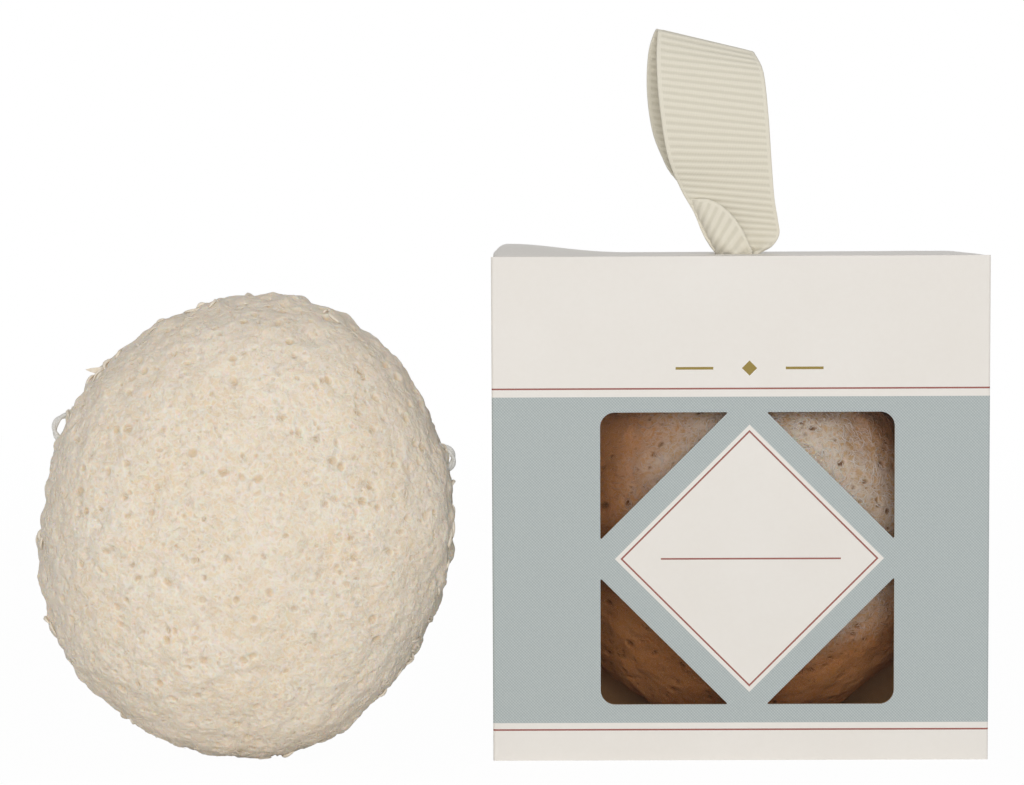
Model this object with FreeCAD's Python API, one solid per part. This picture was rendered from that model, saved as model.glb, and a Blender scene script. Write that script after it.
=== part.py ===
"""Konjac face sponge with its windowed hanging carton, in millimetres, +Z up.

The origin is the middle of the carton's bottom. The carton faces -Y, +X is its right
side. A loose half-ball sponge stands beside it, and a second one lies in the carton.
"""
import FreeCAD, Part
import math
import os

os.makedirs("parts", exist_ok=True)
Vector = FreeCAD.Vector

# Foam: an oval seen from the front, a dome towards the front, a flat back with a round rim.
sponge_half_width = 34.85
sponge_half_height = 38.95
dome_depth = 25.0
rim_setback = 15.0
foot_depth = 0.8
back_size_share = 0.70
# Slow waves of the oval: how many lobes, how strong, and where the first crest lies (degrees).
oval_wave_shares = [(2, 0.024, 45.0), (3, 0.008, 62.0), (5, 0.009, 69.0)]
oval_points = 24
back_steps = [90.0, 66.0, 42.0, 20.0]
dome_steps = [0.0, 18.0, 36.0, 54.0, 70.0, 82.0]

# Cotton string: a closed loop, two runs through the foam and a small bend out at each side.
string_diameter = 1.1
string_run_gap = 4.4
string_slip = 0.15
string_sink = 1.0
string_knot_diameter = 2.2
string_left_angle = 150.5
string_right_angle = 19.5

# Board and film.
board = 0.5
film_thickness = 0.15
crease_gap = 0.1
slip_gap = 0.15
fold_round = 0.4

# Room that the carton leaves round its sponge, and above it for the ribbon's knot.
sponge_side_room = 3.57
sponge_front_room = 4.0
sponge_back_room = 1.0
sponge_headroom = 8.34
boxed_turn = 55.0

# Windows: the four corners of a square, left open round a diamond that the board keeps.
window_square = 48.5
window_corner = 2.4
window_tip = 0.15
diamond_reach = 27.4
window_offset = 1.1
window_height = 33.6
film_margin = 4.0

# Flaps.
glue_flap_width = 8.0
glue_flap_inset = 6.0
bottom_flap_spread = 29.0
bottom_flap_setback = 2.5
bottom_flap_corner = 4.0
bottom_inner_depth = 30.0
dust_flap_length = 27.0
dust_flap_front_setback = 4.0
dust_flap_back_setback = 1.5
dust_flap_front_taper = 3.0
dust_flap_back_taper = 13.0
dust_flap_corner = 4.0
tuck_depth = 13.0
tuck_setback = 1.0
tuck_corner = 7.0
tuck_lean = 10.0
lid_setback = 0.3
lid_corner = 1.0
lid_bevel = 0.7

# Ribbon: a loop standing on the lid, its neck in a round hole and its knot below.
ribbon_width = 17.2
ribbon_thickness = 0.6
ribbon_offset = 0.3
ribbon_turn = 12.0
loop_left_height = 37.0
loop_right_height = 33.2
loop_gap = 9.5
loop_fold_radius = 0.9
loop_root_radius = 0.6
# Front view of the loop: across as shares of the ribbon's width, up as shares of the left height.
loop_left_share = -0.81
loop_outline_shares = [
    (-0.18, -0.10), (0.18, -0.10), (0.18, 0.02), (0.38, 0.16), (0.22, 0.70), (0.19, 1.10),
    (loop_left_share, 1.10), (-0.77, 0.60), (-0.66, 0.36), (-0.44, 0.17), (-0.18, 0.02)]
neck_diameter = 6.4
neck_slip = 0.35
neck_rise = 0.3
knot_diameter = 9.2
knot_height = 7.0
tail_length = 6.0
tail_width = 8.5
tail_droop = 8.0
tail_corner = 1.2

# The loose sponge beside the carton.
loose_gap = 6.36
loose_setback = 6.6

cut_overrun = 1.0


def oval_radius(angle):
    """Distance from the middle of the oval to its edge, at an angle in degrees from +X."""
    turn = math.radians(angle)
    across = math.cos(turn) / sponge_half_width
    upward = math.sin(turn) / sponge_half_height
    wave = 1
    for lobes, strength, crest in oval_wave_shares:
        wave += strength * math.cos(lobes * math.radians(angle - crest))
    return wave / math.hypot(across, upward)


def oval_reach(direction):
    """How far the oval reaches along a direction given in degrees."""
    return max(oval_radius(angle) * math.cos(math.radians(angle - direction)) for angle in range(360))


# Derived sizes. The boxed sponge is turned in the plane of the carton's front.
string_radius = string_diameter / 2
string_bend = string_run_gap / 2
foam_depth = dome_depth + rim_setback
foam_right = oval_reach(0)
foam_bottom = oval_reach(270)
boxed_right, boxed_top, boxed_left, boxed_bottom = [
    oval_reach(direction - boxed_turn) for direction in (0, 90, 180, 270)]
boxed_floor = 2 * board + slip_gap
carton_width = boxed_left + boxed_right + 2 * (sponge_side_room + board)
carton_depth = foam_depth + sponge_front_room + sponge_back_room + 2 * board
carton_height = boxed_floor + boxed_bottom + boxed_top - foot_depth + sponge_headroom + board
half_width = carton_width / 2
half_depth = carton_depth / 2
inner_half_width = half_width - board
inner_half_depth = half_depth - board
lid_axis_y = half_depth - board / 2
lid_axis_z = carton_height - board / 2
tuck_axis_y = slip_gap + board / 2 - inner_half_depth
dust_axis_x = half_width - board / 2
dust_axis_z = carton_height - board - slip_gap - board / 2
side_top = dust_axis_z - board / 2 - crease_gap
back_top = carton_height - board - crease_gap
neck_top = carton_height + neck_rise
loop_axis_z = neck_top + crease_gap + loop_root_radius + ribbon_thickness / 2


def rounded_face(corners, radii):
    """Flat face in XY through the corners, each one rounded by its own radius (0 keeps it sharp)."""
    edges = []
    starts = []
    ends = []
    middles = []
    for index, corner in enumerate(corners):
        here = Vector(corner[0], corner[1], 0)
        before = Vector(corners[index - 1][0], corners[index - 1][1], 0) - here
        following = corners[(index + 1) % len(corners)]
        after = Vector(following[0], following[1], 0) - here
        before.normalize()
        after.normalize()
        half_angle = before.getAngle(after) / 2
        bisector = before + after
        bisector.normalize()
        run = radii[index] / math.tan(half_angle)
        starts.append(here + before * run)
        ends.append(here + after * run)
        middles.append(here + bisector * (radii[index] / math.sin(half_angle) - radii[index]))
    for index, radius in enumerate(radii):
        if radius:
            edges.append(Part.Arc(starts[index], middles[index], ends[index]).toShape())
        edges.append(Part.makeLine(ends[index], starts[(index + 1) % len(radii)]))
    return Part.Face(Part.Wire(edges))


def plate(corners, radii, thickness=board):
    """Plate on the XY plane, its thickness upward."""
    return rounded_face(corners, radii).extrude(Vector(0, 0, thickness))


def upright(shape):
    """Stand a plate up: its Y becomes Z, and its thickness points to -Y."""
    return shape.rotate(Vector(), Vector(1, 0, 0), 90)


def moved(shape, x=0, y=0, z=0):
    """The shape, shifted."""
    shape.translate(Vector(x, y, z))
    return shape


def block(low, high):
    """Box between two corners."""
    size = [high[axis] - low[axis] for axis in range(3)]
    return Part.makeBox(size[0], size[1], size[2], Vector(low[0], low[1], low[2]))


def rectangle(low_x, low_y, high_x, high_y):
    """Corners of a rectangle, counter-clockwise from its lowest corner."""
    return [(low_x, low_y), (high_x, low_y), (high_x, high_y), (low_x, high_y)]


def mirrored(shape):
    """The shape on the other side of the carton."""
    return shape.mirror(Vector(), Vector(1, 0, 0))


def foam_section(size, depth):
    """Closed curve round the foam at a size share of the oval, at a depth along Y."""
    points = []
    for index in range(oval_points):
        angle = 360 * index / oval_points
        reach = size * oval_radius(angle)
        turn = math.radians(angle)
        points.append(Vector(reach * math.cos(turn), depth, reach * math.sin(turn)))
    curve = Part.BSplineCurve()
    curve.interpolate(Points=points, PeriodicFlag=True)
    return Part.Wire(curve.toShape())


def foam():
    """Half ball: loft from the flat back over the widest oval (y = 0) to the point of the dome."""
    sections = []
    for step in back_steps:
        turn = math.radians(step)
        size = back_size_share + (1 - back_size_share) * math.cos(turn)
        sections.append(foam_section(size, rim_setback * math.sin(turn)))
    for step in dome_steps:
        turn = math.radians(step)
        sections.append(foam_section(math.cos(turn), -dome_depth * math.sin(turn)))
    sections.append(Part.Vertex(0, -dome_depth, 0))
    return Part.makeLoft(sections, True)


def string_ends():
    """Middles of the string's two bends, just inside the edge of the oval."""
    ends = []
    for angle in (string_left_angle, string_right_angle):
        reach = oval_radius(angle) - string_sink
        turn = math.radians(angle)
        ends.append(Vector(reach * math.cos(turn), 0, reach * math.sin(turn)))
    return ends


def string_loop(radius):
    """Closed loop in the plane of the widest oval: two straight runs and a half ring at each end."""
    left, right = string_ends()
    along = (right - left).normalize()
    across = Vector(0, 1, 0).cross(along)
    lower = Part.Face(Part.Wire(Part.makeCircle(radius, left - across * string_bend, along)))
    upper = Part.Face(Part.Wire(Part.makeCircle(radius, right + across * string_bend, along)))
    pieces = [
        lower.extrude(right - left),
        upper.extrude(left - right),
        lower.revolve(left, Vector(0, -1, 0), 180),
        upper.revolve(right, Vector(0, -1, 0), 180)]
    return pieces[0].fuse(pieces[1:]).removeSplitter()


def string_knot(radius):
    """The knot, drawn into the foam: a barrel round the middle of the lower run."""
    left, right = string_ends()
    along = (right - left).normalize()
    middle = (left + right) / 2 - Vector(0, 1, 0).cross(along) * string_bend
    return Part.makeCylinder(radius, 2 * radius, middle - along * radius, along)


def string():
    """The string with its knot."""
    return string_loop(string_radius).fuse(string_knot(string_knot_diameter / 2)).removeSplitter()


def threaded_foam():
    """The foam with the way that the string takes through it."""
    way = string_loop(string_radius + string_slip)
    return foam().cut([way, string_knot(string_knot_diameter / 2 + string_slip)])


def with_foot(shape, floor):
    """Cut the foam flat where it stands."""
    reach = 2 * (sponge_half_width + sponge_half_height)
    return shape.cut(block((-reach, -reach, floor - reach), (reach, reach, floor)))


def loose_place(shape):
    """Where the loose sponge stands: beside the carton, its widest oval behind the carton's front."""
    middle_x = -half_width - loose_gap - foam_right
    return moved(shape, middle_x, loose_setback - half_depth, foam_bottom - foot_depth)


def boxed_place(shape):
    """Where the boxed sponge stands: turned, in the middle of the carton and near its back."""
    turned = shape.rotate(Vector(), Vector(0, -1, 0), boxed_turn)
    centre_x = (boxed_left - boxed_right) / 2
    centre_y = inner_half_depth - sponge_back_room - rim_setback
    return moved(turned, centre_x, centre_y, boxed_floor + boxed_bottom - foot_depth)


def window_openings():
    """The four window cuts through the front panel, each a right-angled triangle in the square."""
    half = window_square / 2
    leg = diamond_reach - half
    cuts = []
    for side in (-1, 1):
        for rise in (-1, 1):
            corners = [(side * half, rise * half), (side * leg, rise * half), (side * half, rise * leg)]
            cut = upright(plate(corners, [window_corner, window_tip, window_tip], board + 2 * cut_overrun))
            cuts.append(moved(cut, window_offset, cut_overrun - inner_half_depth, window_height))
    return cuts


def front_panel():
    """Front of the carton, up to the top of the lid, with its windows; its outer edges are folds."""
    corners = rectangle(-half_width, -half_depth, half_width, -inner_half_depth)
    return plate(corners, [fold_round, fold_round, 0, 0], carton_height).cut(window_openings())


def back_panel():
    """Back of the carton, up to the lid's crease."""
    corners = rectangle(-half_width, inner_half_depth, half_width, half_depth)
    return plate(corners, [0, 0, fold_round, fold_round], back_top)


def left_side_panel():
    """Left side, between front and back, up to the crease of its dust flap."""
    return block((-half_width, -inner_half_depth, 0), (-inner_half_width, inner_half_depth, side_top))


def glue_flap():
    """Strip of the back panel glued to the inside of the left side."""
    low = (-inner_half_width, inner_half_depth - glue_flap_width, glue_flap_inset)
    high = (-inner_half_width + board, inner_half_depth, side_top - glue_flap_inset)
    return block(low, high)


def window_film():
    """Clear film glued to the inside of the front panel, over all four windows."""
    half = window_square / 2 + film_margin
    low = (window_offset - half, -inner_half_depth, window_height - half)
    high = (window_offset + half, film_thickness - inner_half_depth, window_height + half)
    return block(low, high)


def bottom_panel():
    """Outer bottom, flush with the lower edges of the walls."""
    return block((-inner_half_width, -inner_half_depth, 0), (inner_half_width, inner_half_depth, board))


def bottom_inner_panel():
    """Inner bottom, folded in from the front and glued on the outer one."""
    high_y = bottom_inner_depth - inner_half_depth
    return block((-inner_half_width, -inner_half_depth, board), (inner_half_width, high_y, 2 * board))


def bottom_left_flap():
    """Bottom flap of the left side, glued on the inner bottom; its end stays clear of the sponge's foot."""
    low_y = bottom_flap_setback - inner_half_depth
    corners = rectangle(-inner_half_width, low_y, -bottom_flap_spread / 2, -low_y)
    return moved(plate(corners, [0, bottom_flap_corner, bottom_flap_corner, 0]), z=2 * board)


def crease_sheet(length, span):
    """Sheet on XY: a round bead on the X axis, and the sheet from there along -Y, mid-plane at z = 0."""
    bead = Part.makeCylinder(board / 2, span, Vector(-span / 2, 0, 0), Vector(1, 0, 0))
    sheet = block((-span / 2, -length, -board / 2), (span / 2, 0, board / 2))
    return bead.fuse(sheet).removeSplitter()


def trimmed(shape, corners, radii):
    """The part of a flat sheet (mid-plane z = 0) that lies inside an outline."""
    return shape.common(moved(plate(corners, radii, 2 * board), z=-board))


def lid_panel():
    """Top of the carton: a bead in the back crease, a bevelled front edge, a round hole for the ribbon."""
    span = 2 * (half_width - lid_setback)
    length = lid_axis_y - (tuck_axis_y + board / 2 + crease_gap)
    corners = rectangle(-span / 2, -length, span / 2, board)
    lid = trimmed(crease_sheet(length, span), corners, [lid_corner, lid_corner, 0, 0])
    low_edge = Vector(-span / 2, -length, -board / 2)
    bevel = [low_edge, low_edge + Vector(0, lid_bevel, 0), low_edge + Vector(0, 0, board), low_edge]
    wedge = Part.Face(Part.makePolygon(bevel)).extrude(Vector(span, 0, 0))
    hole = Part.makeCylinder(neck_diameter / 2 + neck_slip, board + 2 * cut_overrun)
    lid = lid.cut([wedge, moved(hole, ribbon_offset, -lid_axis_y, -board / 2 - cut_overrun)])
    return moved(lid, 0, lid_axis_y, lid_axis_z)


def tuck_flap():
    """Flap on the lid's front crease, pushed down behind the front panel and leaning inward."""
    span = 2 * (inner_half_width - tuck_setback)
    flap = crease_sheet(tuck_depth, span)
    corners = rectangle(-span / 2, -tuck_depth, span / 2, board)
    flap = trimmed(flap, corners, [tuck_corner, tuck_corner, 0, 0])
    return moved(flap.rotate(Vector(), Vector(1, 0, 0), 90 + tuck_lean), 0, tuck_axis_y, lid_axis_z)


def left_dust_flap():
    """Flap on the left side's crease, lying under the lid; its back edge tapers to clear the lid."""
    span = 2 * inner_half_depth
    flap = crease_sheet(dust_flap_length, span)
    front = dust_flap_front_setback - inner_half_depth
    back = inner_half_depth - dust_flap_back_setback
    corners = [
        (front + dust_flap_front_taper, -dust_flap_length),
        (back - dust_flap_back_taper, -dust_flap_length),
        (back, -board),
        (back, board),
        (front, board),
        (front, -board)]
    flap = trimmed(flap, corners, [dust_flap_corner, dust_flap_corner, 0, 0, 0, 0])
    return moved(flap.rotate(Vector(), Vector(0, 0, 1), 90), -dust_axis_x, 0, dust_axis_z)


def ribbon_knot():
    """Knot under the lid with its two cut ends, and the gathered neck through the lid's hole."""
    knot_radius = knot_diameter / 2
    knot_centre = carton_height - board - slip_gap - knot_height / 2
    stretch = FreeCAD.Matrix()
    stretch.scale(knot_diameter, knot_diameter, knot_height)
    knot = Part.makeSphere(1 / 2).transformGeometry(stretch)
    neck = Part.makeCylinder(neck_diameter / 2, neck_top - knot_centre)
    corners = rectangle(0, -tail_width / 2, knot_radius + tail_length, tail_width / 2)
    tail = moved(plate(corners, [0, tail_corner, tail_corner, 0], ribbon_thickness), z=-ribbon_thickness / 2)
    tail = tail.rotate(Vector(), Vector(0, 1, 0), tail_droop)
    whole = knot.fuse([neck, tail, mirrored(tail)]).removeSplitter()
    return moved(whole, ribbon_offset, 0, knot_centre)


def loop_section(x, height, growth):
    """Side view of the loop at x: a leaf with a round root and a narrow round fold at the top."""
    root = loop_root_radius + growth
    fold = loop_fold_radius + growth
    belly = loop_gap / 2 + growth
    crown = height - loop_fold_radius
    points = {
        "root": Vector(x, 0, -root), "front_low": Vector(x, -root, 0), "back_low": Vector(x, root, 0),
        "front": Vector(x, -belly, height / 2), "back": Vector(x, belly, height / 2),
        "front_high": Vector(x, -fold, crown), "back_high": Vector(x, fold, crown),
        "fold": Vector(x, 0, crown + fold)}
    rounds = [
        ("front_low", "front", "front_high"), ("front_high", "fold", "back_high"),
        ("back_high", "back", "back_low"), ("back_low", "root", "front_low")]
    return Part.Wire([Part.Arc(*[points[name] for name in names]).toShape() for names in rounds])


def ribbon_loop():
    """The hanging loop: a band round two leaf sections, trimmed to its gathered front view."""
    slope = (loop_right_height - loop_left_height) / ribbon_width
    left_edge = loop_left_share * ribbon_width
    shells = []
    for growth in (ribbon_thickness / 2, -ribbon_thickness / 2):
        sections = []
        for x in (-ribbon_width, ribbon_width):
            height = loop_left_height + slope * (x - left_edge)
            sections.append(loop_section(x, height, growth))
        shells.append(Part.makeLoft(sections, True, True))
    corners = [(across * ribbon_width, rise * loop_left_height) for across, rise in loop_outline_shares]
    outline = upright(plate(corners, [0 for corner in corners], 2 * loop_gap))
    band = shells[0].cut(shells[1]).common(moved(outline, y=loop_gap))
    return moved(band.rotate(Vector(), Vector(0, 0, 1), ribbon_turn), ribbon_offset, 0, loop_axis_z)


pieces = {
    "loose_sponge": loose_place(with_foot(threaded_foam(), foot_depth - foam_bottom)),
    "loose_sponge_string": loose_place(string()),
    "boxed_sponge": with_foot(boxed_place(threaded_foam()), boxed_floor),
    "boxed_sponge_string": boxed_place(string()),
    "front_panel": front_panel(),
    "back_panel": back_panel(),
    "left_side_panel": left_side_panel(),
    "right_side_panel": mirrored(left_side_panel()),
    "glue_flap": glue_flap(),
    "window_film": window_film(),
    "bottom_panel": bottom_panel(),
    "bottom_inner_panel": bottom_inner_panel(),
    "bottom_left_flap": bottom_left_flap(),
    "bottom_right_flap": mirrored(bottom_left_flap()),
    "lid_panel": lid_panel(),
    "tuck_flap": tuck_flap(),
    "left_dust_flap": left_dust_flap(),
    "right_dust_flap": mirrored(left_dust_flap()),
    "ribbon_knot": ribbon_knot(),
    "ribbon_loop": ribbon_loop()}

for name, shape in pieces.items():
    shape.exportStep("parts/" + name + ".step")
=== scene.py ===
from itertools import product

import bpy
import numpy as np
from mathutils import Matrix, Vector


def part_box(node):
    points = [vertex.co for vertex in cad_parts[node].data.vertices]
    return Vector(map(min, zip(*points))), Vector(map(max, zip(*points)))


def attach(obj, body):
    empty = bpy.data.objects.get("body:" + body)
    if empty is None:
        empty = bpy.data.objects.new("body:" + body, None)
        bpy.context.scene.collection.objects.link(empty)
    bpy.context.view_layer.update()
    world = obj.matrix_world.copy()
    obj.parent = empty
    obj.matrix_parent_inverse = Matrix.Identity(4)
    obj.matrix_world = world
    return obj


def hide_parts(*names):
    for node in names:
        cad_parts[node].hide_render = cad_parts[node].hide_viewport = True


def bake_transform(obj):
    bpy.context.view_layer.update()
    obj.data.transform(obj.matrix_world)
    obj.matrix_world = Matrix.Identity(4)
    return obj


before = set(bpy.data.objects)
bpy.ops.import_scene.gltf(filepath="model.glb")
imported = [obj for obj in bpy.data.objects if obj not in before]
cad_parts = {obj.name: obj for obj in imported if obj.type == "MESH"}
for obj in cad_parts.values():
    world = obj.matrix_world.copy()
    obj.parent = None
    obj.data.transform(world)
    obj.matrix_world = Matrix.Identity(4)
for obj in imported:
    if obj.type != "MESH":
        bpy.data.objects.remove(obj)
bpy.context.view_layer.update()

# ---- Carton sleeve -------------------------------------------------------------------------
# Folding boxboard, creased at four corners and glued inside the back left corner.
# Outside it is coated white and printed: a blue-grey linen band between two thin red lines, and
# on the front a white diamond over four die-cut windows. Inside it is bare brown board.


class Shade:
    """A socket of a material: sums, products and comparisons of values add Math nodes."""

    def __init__(self, tree, socket=None):
        self.tree = tree
        self.socket = socket

    def node(self, kind, settings=(), sockets=(), out=0):
        """Adds a node, makes its settings, then fills its sockets with values or links."""
        made = self.tree.nodes.new("ShaderNode" + kind)
        for name, value in dict(settings).items():
            setattr(made, name, value)
        for name, value in dict(sockets).items():
            self.fill(made, name, value)
        return Shade(self.tree, made.outputs[out])

    def fill(self, made, name, value):
        if isinstance(value, Shade):
            self.tree.links.new(value.socket, made.inputs[name])
        else:
            made.inputs[name].default_value = value

    def surface(self, sockets):
        """Fills sockets of the material's own Principled shader."""
        for name, value in sockets.items():
            self.fill(self.tree.nodes["Principled BSDF"], name, value)

    def maths(self, operation, *values):
        return self.node("Math", {"operation": operation}, dict(enumerate(values)))

    def __add__(self, other):
        return self.maths("ADD", self, other)

    def __sub__(self, other):
        return self.maths("SUBTRACT", self, other)

    def __rsub__(self, other):
        return self.maths("SUBTRACT", other, self)

    def __mul__(self, other):
        return self.maths("MULTIPLY", self, other)

    def __lt__(self, other):
        return self.maths("LESS_THAN", self, other)

    def __gt__(self, other):
        return self.maths("GREATER_THAN", self, other)

    def __abs__(self):
        return self.maths("ABSOLUTE", self)

    __and__ = __mul__

    def __or__(self, other):
        return self.maths("MAXIMUM", self, other)

    def sine(self):
        return self.maths("SINE", self)

    def rise(self, low, high):
        """0 at low, 1 at high, an S-curve between."""
        ends = {"Value": self, "From Min": low, "From Max": high}
        return self.node("MapRange", {"interpolation_type": "SMOOTHSTEP"}, ends)

    def mix(self, first, second):
        """first where this value is 0, second where it is 1, as colours."""
        return self.node("Mix", {"data_type": "RGBA"}, {0: self, 6: first, 7: second}, out=2)

    def noise(self, size, detail=3.0, seed=0.0):
        """Cloudy noise of that size in mm over this place, about 0.5."""
        sockets = {"Vector": self, "W": seed, "Scale": 1.0 / size, "Detail": detail}
        return self.node("TexNoise", {"noise_dimensions": "4D"}, sockets)

    def bump(self, strength, height_mm):
        """A normal that follows this height, where 1 stands for height_mm."""
        sockets = {"Height": self, "Strength": strength, "Distance": height_mm / 1000.0}
        return self.node("Bump", (), sockets)


def finish(name):
    """A new material, its wrapped sockets, the place on the piece in mm and its x, y and z."""
    material = bpy.data.materials.new(name)
    material.use_nodes = True
    root = Shade(material.node_tree)
    object_place = root.node("TexCoord", out="Object")
    place = root.node("VectorMath", {"operation": "SCALE"}, {0: object_place, "Scale": 1000.0})
    parts = [root.node("SeparateXYZ", (), {0: place}, out=i) for i in range(3)]
    return material, root, place, *parts


def tint(red, green, blue):
    """A colour as it looks on a screen, 0 to 255, in the linear numbers that shaders take."""
    part = np.array([red, green, blue]) / 255.0
    linear = np.where(part < 0.04045, part / 12.92, ((part + 0.055) / 1.055) ** 2.4)
    return (*linear.tolist(), 1.0)


line_red = tint(152, 88, 78)
linen_pale, linen_deep = tint(192, 199, 197), tint(163, 172, 173)
foil_gold = tint(110, 96, 55)
coat_pale, cut_edge = tint(238, 234, 228), tint(196, 176, 150)
kraft_deep, kraft_pale = tint(204, 150, 94), tint(222, 172, 116)
coat_depth, bare_depth, brown_depth = 0.05, 0.3, 0.46
window_middle_x, window_middle_z, window_reach = 1.1, 33.6, 25.0
print_middle, divider_middle = 1.44, 1.68
band_low, band_high = 6.3, 60.4
line_low, line_high, line_width = 5.15, 61.75, 0.28
diamond_reach, diamond_line_reach = 22.2, 21.1
divider_length, divider_width = 29.7, 0.28
rule_z, rule_middle, rule_half, rule_half_width, lozenge_reach = 65.1, 9.05, 3.1, 0.22, 1.25
linen_pitch = 0.5


def board_tones(place, coat_deep):
    """Fine fibre of the board, its mottled white coat and its mottled brown side."""
    fibre, mottle = place.noise(0.9, 4.0), place.noise(14.0, 2.0, 3.0)
    white = (mottle * 0.6 + fibre * 0.4).mix(coat_deep, coat_pale)
    brown = (fibre * 0.7 + mottle * 0.3).mix(kraft_deep, kraft_pale)
    return fibre, white, brown


def board_finish(name, axis, outer_face, inward, front=False):
    """Printed board: the print by height, the brown inside and the pale cut edge by the depth
    in mm from the outer face, which lies at outer_face on that axis; inward is 1 or -1."""
    material, root, place, x, y, z = finish(name)
    depth = ({"x": x, "y": y, "z": z}[axis] - outer_face) * inward
    across = y if axis == "x" else x
    fibre, white, brown = board_tones(place, tint(231, 225, 217))
    slant, counter = across + z, across - z
    turn = 2.0 * np.pi / linen_pitch
    weave = (slant * turn).sine() * 0.6 + (counter * turn).sine() * 0.4
    thread = weave * 0.4 + (place.noise(0.5, 2.0, 7.0) - 0.5) * 0.35 + 0.5
    linen = thread.rise(0.1, 0.9).mix(linen_pale, linen_deep)
    off_x, off_z = abs(x - window_middle_x), abs(z - window_middle_z)
    in_band = (z > band_low) & (z < band_high)
    red = (abs(z - line_low) < line_width / 2) | (abs(z - line_high) < line_width / 2)
    gold = z < -1.0  # under the foot of the board, so nowhere
    if front:
        off_print, off_rule = abs(x - print_middle), abs(z - rule_z)
        reach = off_print + off_z
        in_band = in_band & (reach > diamond_reach)
        edge = abs(reach - diamond_line_reach) < line_width * 0.71
        divider = (abs(x - divider_middle) < divider_length / 2) & (off_z < divider_width / 2)
        red = red | edge | divider
        gold = (abs(off_print - rule_middle) < rule_half) & (off_rule < rule_half_width)
        gold = gold | (off_print + off_rule < lozenge_reach)
    printed = in_band.mix(white, linen)
    printed = red.mix(printed, line_red)
    printed = gold.mix(printed, foil_gold)
    is_inside = depth > brown_depth
    is_cut = (depth > coat_depth) & (depth < brown_depth)
    is_cut = is_cut & (off_x < window_reach) & (off_z < window_reach)
    colour = is_inside.mix(printed, brown)
    colour = is_cut.mix(colour, cut_edge)
    relief = fibre * 0.5 + weave * in_band * 0.2
    root.surface({
        "Base Color": colour,
        "Roughness": (is_inside | in_band) * 0.2 + 0.48,
        "Metallic": gold & (depth < coat_depth),
        "Normal": relief.bump(0.25, 0.03),
        "Specular IOR Level": 0.35,
    })
    return material


def dress(node, material):
    """Gives a CAD piece this finish all over."""
    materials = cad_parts[node].data.materials
    materials.clear()
    materials.append(material)


half_width, half_depth, carton_height, board = 40.984, 23.0, 83.503, 0.5
dress("front_panel", board_finish("front_print", "y", -half_depth, 1.0, front=True))
dress("back_panel", board_finish("back_print", "y", half_depth, -1.0))
dress("left_side_panel", board_finish("left_print", "x", -half_width, 1.0))
dress("right_side_panel", board_finish("right_print", "x", half_width, -1.0))


def bare_finish(name, axis="", outer_face=0.0, inward=1.0):
    """Unprinted board: coated white on its outer face, brown on its inner face. The face is told
    by the depth from outer_face on that axis, or without an axis by the attribute "inner"."""
    material, root, place, x, y, z = finish(name)
    if axis:
        within = ({"x": x, "y": y, "z": z}[axis] - outer_face) * inward > bare_depth
    else:
        within = root.node("Attribute", {"attribute_name": "inner"}, out="Fac") > 0.5
    fibre, white, brown = board_tones(place, tint(228, 223, 216))
    root.surface({
        "Base Color": within.mix(white, brown),
        "Roughness": within * 0.2 + 0.5,
        "Normal": fibre.bump(0.25, 0.03),
        "Specular IOR Level": 0.35,
    })
    return material


dress("glue_flap", bare_finish("glue_flap_board", "x", -half_width + board, 1.0))

# ---- Window film ---------------------------------------------------------------------------
# Clear film, cut larger than the four windows and glued behind the front panel.
# It is very thin, so it shows only as a faint gloss.
material, root, place, *_ = finish("clear_film")
haze = place.noise(6.0, 4.0)
root.surface({
    "Base Color": tint(70, 62, 54),
    "Roughness": haze * 0.2 + 0.08,
    "Alpha": haze * 0.04 + 0.04,
    "Normal": place.noise(9.0, 1.0, 5.0).bump(0.3, 0.1),
})
dress("window_film", material)

# ---- Carton bottom -------------------------------------------------------------------------
# Four flaps from the feet of the sleeve, folded in and glued: two side flaps, the inner panel
# from the front, and the bottom panel from the back outermost.
dress("bottom_panel", bare_finish("bottom_board", "z", 0.0, 1.0))
dress("bottom_inner_panel", bare_finish("bottom_inner_board", "z", board, 1.0))
bottom_board = bare_finish("bottom_flap_board", "z", 2.0 * board, 1.0)
dress("bottom_left_flap", bottom_board)
dress("bottom_right_flap", bottom_board)

# ---- Boxed sponge --------------------------------------------------------------------------
# Konjac foam, moulded as half a ball with a flat back: cream, full of round pores, with fine torn
# strands of skin on its dome. It stands loose in the carton, turned, and its string runs
# through it.


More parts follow.
